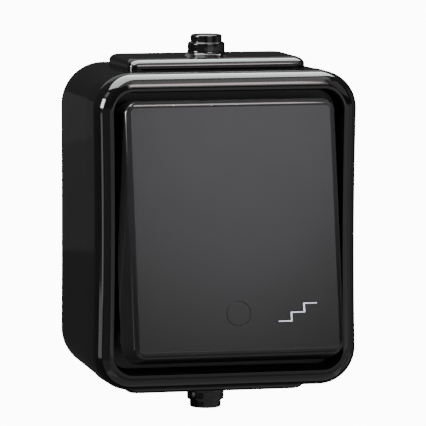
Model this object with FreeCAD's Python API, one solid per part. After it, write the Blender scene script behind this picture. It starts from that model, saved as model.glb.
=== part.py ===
import FreeCAD, Part

import math
import os

from FreeCAD import Vector

# A surface-mounted weatherproof two-way rocker switch, in millimetres.
# X runs to the right, Y into the wall and Z up. The wall plane is Y = 0, the front
# faces -Y, and the origin is the centre of the rear face.
# A depth is a distance from the wall, so a point at depth d lies at Y = -d.
# The rocker rests with its top edge pressed in.

# Housing outline
frame_width = 66.0
frame_height = 77.5
frame_corner = 9.3
side_waist = 0.35
rear_inset = 0.65
rear_corner = 10.6
rear_waist = 0.08
parting_step = 0.12

# Rear box
base_depth = 32.5
base_wall = 2.2
rear_wall = 2.2
rib_thickness = 1.6
rib_stop = 2.5
rear_edge_radius = 0.8

# Wall fixing slots
fixing_spacing = 60.0
fixing_slot_width = 4.4
fixing_slot_length = 8.0

# Cover frame
cover_depth = 13.0
bead_width = 4.2
bead_depth = 5.3
recess_draft = 0.4
floor_thickness = 2.0
floor_flange = 2.2

# Gaskets
gasket_width = 1.0
gasket_thickness = 1.6
insert_gasket_width = 1.6
insert_gasket_thickness = 1.0

# Cable entry plates
entry_centre = 0.3
entry_side_room = 0.05
entry_rear_depth = 8.0
entry_rise = 2.7
entry_front_drop = 2.3
entry_front_reach = 4.5
entry_edge_radius = 1.6
entry_corner_radius = 1.5
entry_neck_margin = 3.2
entry_flange_margin = 1.2
entry_flange_thickness = 2.0
nipple_depth = 20.0
nipple_foot_radius = 6.45
nipple_foot_height = 1.26
nipple_wide_radius = 4.6
nipple_wide_height = 3.3
nipple_narrow_radius = 3.9
nipple_height = 5.2
nipple_wall = 1.0
nipple_edge_radius = 0.5

# Rocker
rocker_tilt = 10.1
pivot_setback = 3.5
face_offset = 9.5
rocker_side_gap = 0.8
rocker_end_gap = 2.35
face_corner = 1.0
bevel_width = 1.2
bevel_drop = 0.65
ridge_radius = 0.8
skirt_flare_x = 1.8
skirt_flare_z = 1.0
skirt_depth = 7.6
skirt_corner = 4.4
rocker_face_thickness = 2.0
rocker_wall = 1.5
rocker_stop_gap = 0.3
window_radius = 3.0
window_rise = 9.1
window_flange = 0.8
window_flange_thickness = 0.8

# Cradle and its bearings
cradle_side_room = 5.0
cradle_end_room = 16.0
cradle_thickness = 2.0
cheek_thickness = 2.2
cheek_radius = 2.6
pin_radius = 2.0
ear_thickness = 3.0
ear_radius = 4.0
ear_gap = 0.5
well_radius = 4.0
well_reach = 6.5
plunger_radius = 2.45
plunger_reach = 16.0
plunger_tail = 3.5
spring_wire = 0.6
spring_turns = 5.0
hook_width = 5.0
hook_thickness = 1.5
hook_nose = 0.7
hook_inset = 4.4

# Switch insert
insert_side_room = 13.0
insert_height = 44.0
insert_corner = 2.0
socket_rear_setback = 14.0
socket_floor_setback = 11.5
insert_flange_thickness = 2.0
tower_side_room = 2.6
tower_height = 18.0
tower_proud = 0.6
tower_wall = 2.0
wing_reach = 8.5
wing_height = 10.0
wing_thickness = 3.0
wing_setback = 12.5
insert_screw_setout = 4.5
insert_post_radius = 4.0
cover_screw_inset = 9.5
cover_screw_drop = 12.75
cover_post_radius = 3.4
screw_radius = 1.5
screw_head_radius = 2.6
screw_head_height = 2.0
screw_length = 14.0
screw_slot = 0.8
screw_slot_share = 0.5
screw_crown_share = 0.4
rivet_end_room = 3.0
rivet_radius = 1.5
rivet_head_radius = 2.5
rivet_head_height = 0.8

# Contacts and terminals
strip_thickness = 1.0
strip_width = 3.4
strip_margin = 0.5
contact_z = 9.5
contact_radius = 1.5
contact_thickness = 0.8
seesaw_tilt = 5.0
seesaw_width = 7.0
seesaw_half_length = 11.2
trough_half_height = 4.5
seesaw_flat_start = 6.2
seesaw_flat_setback = 6.9
nose_radius = 0.6
nose_half_width = 2.6
cheek_plate = 0.8
central_pocket_width = 13.0
central_pocket_height = 27.0
terminal_share = 0.625
terminal_end_room = 7.0
terminal_size = 7.6
clamp_length = 7.0
wire_bore_radius = 1.6
terminal_head_radius = 2.5
terminal_head_height = 1.8

# Clearances
slide_gap = 0.05
pin_gap = 0.03
pocket_gap = 0.3
window_gap = 0.3
contact_gap = 0.08
plunger_gap = 0.1
screw_gap = 0.02
screw_hole_gap = 0.2
screw_bore_spare = 1.0
wire_way_gap = 0.4

# Working allowances: how far a cutter passes a face, how far two joined forms overlap,
# the smallest corner radius, and how near two heights count as the same
cut_margin = 1.0
weld = 0.5
least_corner = 0.4
touch = 0.01

# Places that follow from the sizes above
base_width = frame_width - 2 * parting_step
base_height = frame_height - 2 * parting_step
entry_width = frame_width - 2 * (rear_corner + entry_side_room)
lip_depth = base_depth + cover_depth
pivot_depth = lip_depth - pivot_setback
face_width = frame_width - 2 * (bead_width + rocker_side_gap + skirt_flare_x + bevel_width)
face_height = frame_height - 2 * (bead_width + rocker_end_gap + skirt_flare_z + bevel_width)
face_depth = pivot_depth + face_offset
window_drop = face_height / 2 - window_rise
skirt_height = face_height + 2 * (bevel_width + skirt_flare_z)
tilt = math.radians(rocker_tilt)
skirt_back = skirt_height / 2 * math.sin(tilt) + (skirt_depth - face_offset) * math.cos(tilt)
floor_front = pivot_depth - skirt_back - rocker_stop_gap
floor_rear = floor_front - floor_thickness
tower_base_depth = floor_rear - insert_gasket_thickness
socket_front_depth = tower_base_depth - insert_flange_thickness
tower_front_depth = floor_front + tower_proud
trough_radius = plunger_reach + plunger_gap
insert_width = frame_width - 2 * insert_side_room
tower_width = insert_width - 2 * tower_side_room
cradle_width = tower_width - 2 * cradle_side_room
cradle_height = face_height - 2 * cradle_end_room
insert_screw_x = insert_width / 2 + insert_screw_setout
cover_screw_x = frame_width / 2 - cover_screw_inset
cover_screw_z = frame_height / 2 - cover_screw_drop
terminal_x = insert_width / 2 * terminal_share
terminal_z = insert_height / 2 - terminal_end_room
rivet_z = insert_height / 2 - rivet_end_room
socket_rear_depth = base_depth - socket_rear_setback
socket_floor_depth = base_depth - socket_floor_setback
wing_rear_depth = base_depth - wing_setback
seesaw_flat_depth = base_depth - seesaw_flat_setback
seesaw_pivot_depth = pivot_depth - trough_radius - strip_thickness - slide_gap - nose_radius
strip_front_depth = socket_floor_depth + strip_thickness
pin_end = cradle_width / 2 + ear_gap + ear_thickness


def point(x, depth, z):
    """Return a point from its place across, depth from the wall and height."""
    return Vector(x, -depth, z)


def arc(centre, radius, start, end, depth):
    """Return a round edge in a plane of one depth, between two angles in degrees."""
    ends = []
    for angle in (start, (start + end) / 2, end):
        turn = math.radians(angle)
        ends.append(point(centre[0] + radius * math.cos(turn), depth, centre[1] + radius * math.sin(turn)))
    return Part.Arc(*ends).toShape()


def line(start, end):
    """Return a straight edge."""
    return Part.LineSegment(start, end).toShape()


def outline(width, height, radius, depth, waist=0.0):
    """Return a rounded rectangle whose long sides curve in by the waist."""
    arm = width / 2 - radius
    drop = height / 2 - radius
    overrun = 0.0
    if waist > 0:
        side_radius = ((radius - waist) ** 2 + drop ** 2 - radius ** 2) / (2 * waist)
        overrun = math.degrees(math.atan2(drop, side_radius + radius - waist))
    reach = arm + radius * math.cos(math.radians(overrun))
    fall = drop - radius * math.sin(math.radians(overrun))
    half = height / 2
    edges = [line(point(0, depth, half), point(arm, depth, half))]
    edges.append(arc((arm, drop), radius, 90, -overrun, depth))
    edges.append(long_side(reach, fall, width / 2 - waist, depth))
    edges.append(arc((arm, -drop), radius, overrun, -90, depth))
    edges.append(line(point(arm, depth, -half), point(-arm, depth, -half)))
    edges.append(arc((-arm, -drop), radius, 270, 180 - overrun, depth))
    edges.append(long_side(-reach, -fall, waist - width / 2, depth))
    edges.append(arc((-arm, drop), radius, 180 + overrun, 90, depth))
    edges.append(line(point(-arm, depth, half), point(0, depth, half)))
    return Part.Wire(edges)


def long_side(reach, fall, middle, depth):
    """Return a long side of an outline, curved where its middle is nearer the centre."""
    start = point(reach, depth, fall)
    end = point(reach, depth, -fall)
    if abs(reach - middle) < touch:
        return line(start, end)
    return Part.Arc(start, point(middle, depth, 0), end).toShape()


def prism(wire, length):
    """Return the solid of a flat outline drawn towards the front."""
    return Part.Face(wire).extrude(Vector(0, -length, 0))


def block(x_range, depth_range, z_range):
    """Return a box between two places on each axis."""
    size = Vector(x_range[1] - x_range[0], depth_range[1] - depth_range[0], z_range[1] - z_range[0])
    return Part.makeBox(size.x, size.y, size.z, Vector(x_range[0], -depth_range[1], z_range[0]))


def rod(x, z, radius, depth_range):
    """Return a round bar along the depth."""
    length = depth_range[1] - depth_range[0]
    return Part.makeCylinder(radius, length, point(x, depth_range[0], z), Vector(0, -1, 0))


def cross_rod(x_range, radius, depth, z=0.0):
    """Return a round bar along X."""
    return Part.makeCylinder(radius, x_range[1] - x_range[0], point(x_range[0], depth, z), Vector(1, 0, 0))


def slot(x, z, width, length, depth_range):
    """Return an upright round-ended slot cutter."""
    reach = (length - width) / 2
    bar = block((x - width / 2, x + width / 2), depth_range, (z - reach, z + reach))
    return joined([bar, rod(x, z - reach, width / 2, depth_range), rod(x, z + reach, width / 2, depth_range)])


def turned(profile, x, depth):
    """Return the solid turned from a half section of radius and height about an upright axis."""
    corners = [point(x + radius, depth, height) for radius, height in profile]
    face = Part.Face(Part.makePolygon(corners + corners[:1]))
    return face.revolve(point(x, depth, 0), Vector(0, 0, 1), 360)


def edges_where(shape, test):
    """Return the edges of a shape that pass a test."""
    return [edge for edge in shape.Edges if test(edge)]


def joined(shapes):
    """Return several solids fused into one, with no leftover seams."""
    return shapes[0].fuse(shapes[1:]).removeSplitter()


def mirrored_in_height(shape):
    """Return a shape turned upside down by reflection."""
    return shape.mirror(Vector(0, 0, 0), Vector(0, 0, 1))


def base_outline(inset, depth):
    """Return the rear box's outline at one depth, inset from its outer face."""
    share = depth / base_depth
    width = base_width - 2 * rear_inset * (1 - share) - 2 * inset
    corner = rear_corner * (1 - share) + frame_corner * share - inset
    waist = rear_waist * (1 - share) + side_waist * share
    return outline(width, base_height - 2 * inset, corner, depth, waist)


def wall_fixing_slots():
    """Return the cutters of the two wall fixing slots."""
    size = (fixing_slot_width, fixing_slot_length, (-cut_margin, rear_wall + cut_margin))
    return [slot(0, side * fixing_spacing / 2, *size) for side in (1, -1)]


def entry_wall_cuts():
    """Return the cutters of the two open slots that take the cable entry plates."""
    half = entry_width / 2 - entry_neck_margin
    rear = entry_rear_depth + entry_neck_margin
    wall_top = base_height / 2 + cut_margin
    wall_bottom = base_height / 2 - base_wall - cut_margin
    x_range = (entry_centre - half, entry_centre + half)
    cut = block(x_range, (rear, base_depth + cut_margin), (wall_bottom, wall_top))
    return [cut, mirrored_in_height(cut)]


def screw_posts():
    """Return the base's screw posts with the ribs that tie them to the side walls."""
    posts = []
    foot = rear_wall - weld
    wall_face = base_width / 2 - rear_inset - base_wall / 2
    for side in (1, -1):
        tie = sorted((side * insert_screw_x, side * wall_face))
        posts.append(rod(side * insert_screw_x, 0, insert_post_radius, (foot, wing_rear_depth)))
        rib_z = (-rib_thickness / 2, rib_thickness / 2)
        posts.append(block(tie, (foot, wing_rear_depth - rib_stop), rib_z))
        tie = sorted((side * cover_screw_x, side * wall_face))
        posts.append(rod(side * cover_screw_x, side * cover_screw_z, cover_post_radius, (foot, floor_rear)))
        rib_z = (side * cover_screw_z - rib_thickness / 2, side * cover_screw_z + rib_thickness / 2)
        posts.append(block(tie, (foot, base_depth - gasket_thickness - rib_stop), rib_z))
    return posts


def screw_bores():
    """Return the cutters of the pilot bores in the screw posts."""
    bore = screw_radius + screw_gap
    bores = []
    for side in (1, -1):
        insert_seat = wing_rear_depth + wing_thickness
        end = insert_seat - screw_length - screw_bore_spare
        bores.append(rod(side * insert_screw_x, 0, bore, (end, insert_seat)))
        end = floor_front - screw_length - screw_bore_spare
        bores.append(rod(side * cover_screw_x, side * cover_screw_z, bore, (end, floor_front)))
    return bores


def base_box():
    """Return the deep rear housing that is screwed to the wall."""
    outer = Part.makeLoft([base_outline(0, 0), base_outline(0, base_depth)], True, True)
    outer = outer.makeFillet(rear_edge_radius, edges_where(outer, lies_on_wall))
    inside = [base_outline(base_wall, depth) for depth in (rear_wall, base_depth)]
    box = joined([outer.cut(Part.makeLoft(inside, True, True))] + screw_posts())
    seat = base_outline(base_wall - gasket_width, base_depth)
    seat.translate(Vector(0, gasket_thickness, 0))
    box = box.cut([prism(seat, gasket_thickness + cut_margin).cut(gasket_core())])
    return box.cut(wall_fixing_slots() + entry_wall_cuts() + screw_bores())


def lies_on_wall(edge):
    """Tell whether an edge lies in the wall plane."""
    return all(abs(vertex.Y) < touch for vertex in edge.Vertexes)


def gasket_core():
    """Return the space inside the gasket, which the rebate leaves alone."""
    core = base_outline(base_wall + slide_gap, base_depth)
    core.translate(Vector(0, gasket_thickness, 0))
    return prism(core, gasket_thickness + 2 * cut_margin)


def cover_gasket():
    """Return the square rubber ring in the rebate of the rear box's rim."""
    outer = base_outline(base_wall - gasket_width + slide_gap, base_depth)
    inner = base_outline(base_wall, base_depth)
    for wire in (outer, inner):
        wire.translate(Vector(0, gasket_thickness, 0))
    return prism(outer, gasket_thickness).cut(prism(inner, gasket_thickness))


def nipple():
    """Return the stepped closed nipple and the bore that hollows it from below."""
    seat = base_height / 2 + entry_rise
    profile = [(0, seat - weld), (nipple_foot_radius, seat - weld), (nipple_foot_radius, seat)]
    profile.append((nipple_wide_radius, seat + nipple_foot_height))
    profile.append((nipple_wide_radius, seat + nipple_wide_height))
    profile.append((nipple_narrow_radius, seat + nipple_wide_height))
    profile.append((nipple_narrow_radius, seat + nipple_height))
    profile.append((0, seat + nipple_height))
    body = turned(profile, entry_centre, nipple_depth)
    rims = (seat + nipple_height, seat + nipple_wide_height)
    rounded = edges_where(body, lambda edge: is_rim(edge, rims))
    body = body.makeFillet(nipple_edge_radius, rounded)
    wide = nipple_wide_radius - nipple_wall
    narrow = nipple_narrow_radius - nipple_wall
    low = base_height / 2 - base_wall - entry_flange_thickness - cut_margin
    bore = [(0, low), (wide, low), (wide, seat + nipple_wide_height - nipple_wall)]
    bore.append((narrow, seat + nipple_wide_height - nipple_wall))
    bore.append((narrow, seat + nipple_height - nipple_wall))
    bore.append((0, seat + nipple_height - nipple_wall))
    return body, turned(bore, entry_centre, nipple_depth)


def is_rim(edge, heights):
    """Tell whether an edge is an outer round rim of the nipple at one of the heights."""
    if not isinstance(edge.Curve, Part.Circle):
        return False
    level = any(abs(edge.CenterOfMass.z - height) < touch for height in heights)
    steps = (nipple_narrow_radius, nipple_wide_radius)
    outer = min(steps) if edge.CenterOfMass.z > min(heights) + touch else max(steps)
    return level and abs(edge.Curve.Radius - outer) < touch


def entry_pad():
    """Return the pad of a cable entry plate: rounded ends and rear, and a long round to the front."""
    left = entry_centre - entry_width / 2
    floor = base_height / 2
    top = floor + entry_rise
    plan = block((left, left + entry_width), (entry_rear_depth, base_depth), (floor, top))
    upright = edges_where(plan, lambda edge: abs(edge.Vertexes[0].Z - edge.Vertexes[1].Z) > entry_rise / 2)
    plan = plan.makeFillet(entry_corner_radius, upright)
    long_bar = block((left, left + entry_width), (0, lip_depth), (floor, top))
    ends = edges_where(long_bar, lambda edge: is_top_edge(edge, top) and edge.BoundBox.XLength < touch)
    long_bar = long_bar.makeFillet(entry_edge_radius, ends)
    return plan.common(long_bar).common(entry_side_section(left, floor, top))


def is_top_edge(edge, top):
    """Tell whether an edge lies at the given height."""
    return all(abs(vertex.Z - top) < touch for vertex in edge.Vertexes)


def entry_side_section(left, floor, top):
    """Return the pad's section along the depth, drawn across its whole width."""
    shoulder = point(left, base_depth - entry_front_reach, top)
    brow = point(left, base_depth, top - entry_front_drop)
    centre = point(left, base_depth - entry_front_reach, top - entry_front_drop)
    rear_low = point(left, entry_rear_depth, floor)
    rear_high = point(left, entry_rear_depth, top - entry_edge_radius)
    bend = entry_edge_radius * (1 - math.sqrt(0.5))
    rear_bend = point(left, entry_rear_depth + bend, top - bend)
    rear_top = point(left, entry_rear_depth + entry_edge_radius, top)
    front_low = point(left, base_depth, floor)
    edges = [line(rear_low, rear_high), Part.Arc(rear_high, rear_bend, rear_top).toShape()]
    edges.append(line(rear_top, shoulder))
    edges.append(quarter_ellipse(brow, shoulder, centre))
    edges.append(line(brow, front_low))
    edges.append(line(front_low, rear_low))
    section = Part.Wire(Part.__sortEdges__(edges))
    return Part.Face(section).extrude(Vector(entry_width, 0, 0))


def top_cable_entry():
    """Return the upper slide-in plate: pad, neck, inner flange and nipple in one moulding."""
    outer = base_height / 2
    inner = outer - base_wall
    half = entry_width / 2 - entry_neck_margin - slide_gap
    rear = entry_rear_depth + entry_neck_margin + slide_gap
    front = base_depth - gasket_thickness - slide_gap
    neck_z = (inner - weld, outer + weld)
    neck = block((entry_centre - half, entry_centre + half), (rear, front), neck_z)
    half += entry_flange_margin
    rear -= entry_flange_margin
    flange_z = (inner - entry_flange_thickness, inner - slide_gap)
    flange = block((entry_centre - half, entry_centre + half), (rear, base_depth - slide_gap), flange_z)
    body, bore = nipple()
    return joined([entry_pad(), neck, flange, body]).cut(bore)


def rim_profile():
    """Return the section of the cover's rim: outer wall, bead, sharp lip and recess wall."""
    def place(inset, depth):
        return point(0, depth, frame_height / 2 - inset)
    shoulder = lip_depth - bead_depth
    corners = [place(bead_width, lip_depth)]
    corners.append(place(bead_width + recess_draft, floor_front))
    corners.append(place(bead_width + floor_flange, floor_front))
    corners.append(place(bead_width + floor_flange, floor_rear))
    corners.append(place(base_wall, floor_rear))
    corners.append(place(base_wall, base_depth))
    corners.append(place(0, base_depth))
    corners.append(place(0, shoulder))
    edges = [quarter_ellipse(place(bead_width, lip_depth), place(0, shoulder), place(bead_width, shoulder))]
    for first, second in zip(corners, corners[1:]):
        edges.append(line(first, second))
    return Part.Wire(Part.__sortEdges__(edges))


def quarter_ellipse(first, second, centre):
    """Return the quarter ellipse between two points that lie square to each other from its centre."""
    longer = first.distanceToPoint(centre) > second.distanceToPoint(centre)
    ends = (first, second) if longer else (second, first)
    return Part.ArcOfEllipse(Part.Ellipse(*ends, centre), 0, math.pi / 2).toShape()


def cover_frame():
    """Return the front cover: a rim swept round the outline, with the recess floor across it."""
    path = outline(frame_width, frame_height, frame_corner, base_depth, side_waist)
    sweep = Part.BRepOffsetAPI.MakePipeShell(path)
    sweep.setFrenetMode(False)
    sweep.add(rim_profile(), False, False)
    sweep.build()
    sweep.makeSolid()
    rim = sweep.shape()
    inset = bead_width + floor_flange / 2
    floor = outline(frame_width - 2 * inset, frame_height - 2 * inset, frame_corner - inset, floor_rear)
    cover = joined([rim, prism(floor, floor_thickness)])
    behind = floor_rear - cut_margin
    window = outline(tower_width + 2 * window_gap, tower_height + 2 * window_gap, insert_corner, behind)
    holes = [prism(window, floor_thickness + 2 * cut_margin)]
    hole = (screw_radius + screw_hole_gap, (behind, floor_front + cut_margin))
    for side in (1, -1):
        holes.append(rod(side * cover_screw_x, side * cover_screw_z, *hole))
    return cover.cut(holes)


def pose_rocker(shape):
    """Return a piece of the rocker unit, drawn upright, turned to its resting tilt."""
    turned_shape = shape.copy()
    turned_shape.rotate(point(0, pivot_depth, 0), Vector(1, 0, 0), -rocker_tilt)
    return turned_shape


def rocker_outline(inset, behind):
    """Return the rocker's outline at a distance behind its face, inset from its outer side."""
    if behind <= bevel_drop:
        share = behind / bevel_drop
        corner = face_corner + bevel_width * share
        grow = Vector(bevel_width * share, 0, bevel_width * share)
    else:
        share = (behind - bevel_drop) / (skirt_depth - bevel_drop)
        corner = (face_corner + bevel_width) * (1 - share) + skirt_corner * share
        grow = Vector(bevel_width + skirt_flare_x * share, 0, bevel_width + skirt_flare_z * share)
    width = face_width + 2 * (grow.x - inset)
    height = face_height + 2 * (grow.z - inset)
    return outline(width, height, max(corner - inset, least_corner), face_depth - behind)


def rocker():
    """Return the rocker: flat face, bevelled rim, flared skirt and clips for the cradle."""
    stations = (0, bevel_drop, skirt_depth)
    outer = Part.makeLoft([rocker_outline(0, behind) for behind in stations], True, True)
    outer = outer.makeFillet(ridge_radius, edges_where(outer, is_ridge))
    hollow = [rocker_outline(rocker_wall, behind) for behind in (rocker_face_thickness, skirt_depth)]
    cap = outer.cut(Part.makeLoft(hollow, True, True)).removeSplitter()
    cap = joined([cap] + rocker_hooks())
    hole_depths = (face_depth - 2 * rocker_face_thickness, face_depth + cut_margin)
    hole = rod(0, -window_drop, window_radius, hole_depths)
    return pose_rocker(cap.cut(hole))


def is_ridge(edge):
    """Tell whether an edge lies where the rocker's bevel meets its skirt."""
    return all(abs(vertex.Y + face_depth - bevel_drop) < touch for vertex in edge.Vertexes)


def rocker_hooks():
    """Return the four snap hooks that hold the cradle under the rocker's face."""
    root = face_depth - rocker_face_thickness + weld
    seat = face_depth - rocker_face_thickness - cradle_thickness - 2 * slide_gap
    tip = seat - hook_thickness
    inner = cradle_height / 2 + slide_gap
    hooks = []
    for side in (1, -1):
        for x in (hook_inset - cradle_width / 2, cradle_width / 2 - hook_inset):
            x_range = (x - hook_width / 2, x + hook_width / 2)
            stem_z = sorted((side * inner, side * (inner + hook_thickness)))
            nose_z = sorted((side * (inner - hook_nose), side * (inner + hook_thickness)))
            hooks.append(block(x_range, (tip, root), stem_z))
            hooks.append(block(x_range, (tip, seat), nose_z))
    return hooks


def lamp_window_plug():
    """Return the round blanking plug of the rocker's lamp window."""
    underside = face_depth - rocker_face_thickness
    plug = rod(0, -window_drop, window_radius - slide_gap, (underside - window_flange_thickness, face_depth))
    flange_depths = (underside - window_flange_thickness, underside)
    flange = rod(0, -window_drop, window_radius + window_flange, flange_depths)
    return pose_rocker(joined([plug, flange]))


def cradle():
    """Return the cradle: plate under the rocker, cheeks with bearing pins and plunger well."""
    front = face_depth - rocker_face_thickness - slide_gap
    rear = front - cradle_thickness
    half = cradle_width / 2
    pieces = [block((-half, half), (rear, front), (-cradle_height / 2, cradle_height / 2))]
    for side in (1, -1):
        cheek_x = sorted((side * half, side * (half - cheek_thickness)))
        pin_x = sorted((side * (half - cheek_thickness), side * pin_end))
        pieces.append(block(cheek_x, (pivot_depth, rear + weld), (-cheek_radius, cheek_radius)))
        pieces.append(cross_rod(cheek_x, cheek_radius, pivot_depth))
        pieces.append(cross_rod(pin_x, pin_radius, pivot_depth))
    pieces.append(rod(0, 0, well_radius, (pivot_depth - well_reach, rear + weld)))
    bore = rod(0, 0, plunger_radius + slide_gap, (pivot_depth - well_reach - cut_margin, rear))
    return pose_rocker(joined(pieces).cut(bore))


def spring_range():
    """Return the depths between which the plunger spring stands."""
    rear = face_depth - rocker_face_thickness - slide_gap - cradle_thickness
    return pivot_depth - plunger_tail, rear


def plunger():
    """Return the round-nosed plunger that presses on the contact see-saw."""
    nose = pivot_depth - plunger_reach + plunger_radius
    shaft = rod(0, 0, plunger_radius, (nose, pivot_depth - plunger_tail))
    ball = Part.makeSphere(plunger_radius, point(0, nose, 0))
    return pose_rocker(joined([shaft, ball]))


def plunger_spring():
    """Return the coil spring between the plunger and the end of its well."""
    start, end = spring_range()
    coil_radius = plunger_radius - spring_wire / 2
    height = end - start - spring_wire
    helix = Part.makeHelix(height / spring_turns, height, coil_radius)
    section = Part.Wire(Part.makeCircle(spring_wire / 2, Vector(coil_radius, 0, 0), Vector(0, 1, 0)))
    coil = Part.Wire(helix.Edges).makePipeShell([section], True, True)
    coil.rotate(Vector(0, 0, 0), Vector(1, 0, 0), 90)
    coil.translate(point(0, start + spring_wire / 2, 0))
    return pose_rocker(coil)


def terminal_places():
    """Return the places of the three terminals: upper, lower and common."""
    return [(terminal_x, terminal_z), (terminal_x, -terminal_z), (-terminal_x, terminal_z)]


def pocket(x_range, z_range, gap):
    """Return the cutter of a socket pocket, open to the front."""
    x_wide = (min(x_range) - gap, max(x_range) + gap)
    z_wide = (min(z_range) - gap, max(z_range) + gap)
    return block(x_wide, (socket_floor_depth, socket_front_depth + cut_margin), z_wide)


def switched_strip_ranges():
    """Return the two flat stretches of the upper contact strip, as X and Z ranges."""
    half = terminal_size / 2
    arm_z = (contact_z - strip_width / 2, contact_z + strip_width / 2)
    arm = ((-contact_radius - strip_margin, terminal_x + half), arm_z)
    pad_low = min(arm_z[0], terminal_z - half)
    pad = ((terminal_x - half, terminal_x + half), (pad_low, terminal_z + half))
    return [arm, pad]


def common_strip_ranges():
    """Return the two flat stretches of the common strip, as X and Z ranges."""
    half = terminal_size / 2
    arm_z = (-strip_width / 2, strip_width / 2)
    arm = ((-terminal_x - half, nose_half_width), arm_z)
    pad = ((-terminal_x - half, -terminal_x + half), (arm_z[0], terminal_z + half))
    return [arm, pad]


def insert_socket():
    """Return the moulded socket that carries the contacts and terminals."""
    depth = socket_front_depth - socket_rear_depth
    socket = prism(outline(insert_width, insert_height, insert_corner, socket_rear_depth), depth)
    for side in (1, -1):
        wing_x = sorted((side * (insert_width / 2 - weld), side * (insert_width / 2 + wing_reach)))
        wing_z = (-wing_height / 2, wing_height / 2)
        wing = block(wing_x, (wing_rear_depth, wing_rear_depth + wing_thickness), wing_z)
        socket = socket.fuse(wing)
    half_x = central_pocket_width / 2
    half_z = central_pocket_height / 2
    cuts = [pocket((-half_x, half_x), (-half_z, half_z), 0)]
    for x_range, z_range in switched_strip_ranges():
        cuts.append(pocket(x_range, z_range, pocket_gap))
        cuts.append(mirrored_in_height(pocket(x_range, z_range, pocket_gap)))
    for x_range, z_range in common_strip_ranges():
        cuts.append(pocket(x_range, z_range, pocket_gap))
    wire_depth = strip_front_depth + clamp_length / 2
    for x, z in terminal_places():
        side = 1 if z > 0 else -1
        way_radius = wire_bore_radius + wire_way_gap
        start = point(x, wire_depth, z)
        cuts.append(Part.makeCylinder(way_radius, insert_height, start, Vector(0, 0, side)))
    wing_depths = (wing_rear_depth - cut_margin, wing_rear_depth + wing_thickness + cut_margin)
    body_depths = (socket_rear_depth - cut_margin, socket_front_depth + cut_margin)
    for side in (1, -1):
        cuts.append(rod(side * insert_screw_x, 0, screw_radius + screw_hole_gap, wing_depths))
        cuts.append(rod(0, side * rivet_z, rivet_radius + slide_gap, body_depths))
    return socket.removeSplitter().cut(cuts)


def insert_cover():
    """Return the insert's lid: flange, raised tower and the ears that carry the cradle."""
    sheet = outline(insert_width, insert_height, insert_corner, socket_front_depth)
    flange = prism(sheet, insert_flange_thickness)
    tower_length = tower_front_depth - socket_front_depth
    tower = prism(outline(tower_width, tower_height, insert_corner, socket_front_depth), tower_length)
    pieces = [flange, tower]
    for side in (1, -1):
        ear_x = sorted((side * (pin_end - ear_thickness), side * pin_end))
        pieces.append(block(ear_x, (tower_front_depth - weld, pivot_depth), (-ear_radius, ear_radius)))
        pieces.append(cross_rod(ear_x, ear_radius, pivot_depth))
    lid = joined(pieces)
    bearing = cross_rod((-pin_end - cut_margin, pin_end + cut_margin), pin_radius + pin_gap, pivot_depth)
    hollow_x = (-tower_width / 2 + tower_wall, tower_width / 2 - tower_wall)
    hollow_z = (-tower_height / 2 + tower_wall, tower_height / 2 - tower_wall)
    hollow_depths = (socket_front_depth - cut_margin, tower_front_depth - tower_wall)
    hollow = block(hollow_x, hollow_depths, hollow_z)
    swing = well_reach * math.sin(tilt) + well_radius + window_gap
    slot_x = (-well_radius - window_gap, well_radius + window_gap)
    way = block(slot_x, (socket_front_depth, tower_front_depth + cut_margin), (-swing, swing))
    cuts = [bearing, hollow, way]
    flange_depths = (socket_front_depth - cut_margin, tower_base_depth + cut_margin)
    for x, z in terminal_places():
        cuts.append(rod(x, z, terminal_head_radius + pocket_gap, flange_depths))
    for side in (1, -1):
        cuts.append(rod(0, side * rivet_z, rivet_radius + slide_gap, flange_depths))
    return lid.cut(cuts)


def insert_gasket():
    """Return the flat rubber frame between the insert's flange and the cover floor."""
    inner_width = tower_width + 2 * window_gap
    inner_height = tower_height + 2 * window_gap
    grow = 2 * insert_gasket_width
    outer = outline(inner_width + grow, inner_height + grow, insert_corner + grow / 2, tower_base_depth)
    inner = outline(inner_width, inner_height, insert_corner, tower_base_depth)
    return prism(outer, insert_gasket_thickness).cut(prism(inner, insert_gasket_thickness))


def slotted_screw(x, z, seat_depth, radius, length, head_radius, head_height):
    """Return a pan-head screw along the depth, its head resting at the seat depth."""
    shank = rod(x, z, radius, (seat_depth - length, seat_depth))
    head = rod(x, z, head_radius, (seat_depth, seat_depth + head_height))
    crown = edges_where(head, lambda edge: edge.CenterOfMass.y < -(seat_depth + head_height) + touch)
    head = head.makeFillet(head_height * screw_crown_share, crown)
    groove_x = (x - head_radius, x + head_radius)
    groove_floor = seat_depth + head_height * (1 - screw_slot_share)
    groove_depth = (groove_floor, seat_depth + head_height + cut_margin)
    groove = block(groove_x, groove_depth, (z - screw_slot / 2, z + screw_slot / 2))
    return joined([shank, head]).cut(groove)


def cover_screws():
    """Return the two screws that hold the cover frame, hidden under the rocker."""
    screws = []
    for side in (1, -1):
        place = (side * cover_screw_x, side * cover_screw_z)
        head = (screw_head_radius, screw_head_height)
        screws.append(slotted_screw(*place, floor_front, screw_radius, screw_length, *head))
    return Part.makeCompound(screws)


def insert_screws():
    """Return the two screws that hold the insert to the rear box."""
    seat = wing_rear_depth + wing_thickness
    screws = []
    for side in (1, -1):
        head = (screw_head_radius, screw_head_height)
        screws.append(slotted_screw(side * insert_screw_x, 0, seat, screw_radius, screw_length, *head))
    return Part.makeCompound(screws)


def insert_rivets():
    """Return the two rivets that hold the insert's lid to its socket."""
    rivets = []
    for side in (1, -1):
        shank = rod(0, side * rivet_z, rivet_radius, (socket_rear_depth, tower_base_depth))
        front = (tower_base_depth, tower_base_depth + rivet_head_height)
        rear = (socket_rear_depth - rivet_head_height, socket_rear_depth)
        heads = [rod(0, side * rivet_z, rivet_head_radius, depths) for depths in (front, rear)]
        rivets.append(joined([shank] + heads))
    return Part.makeCompound(rivets)


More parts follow.
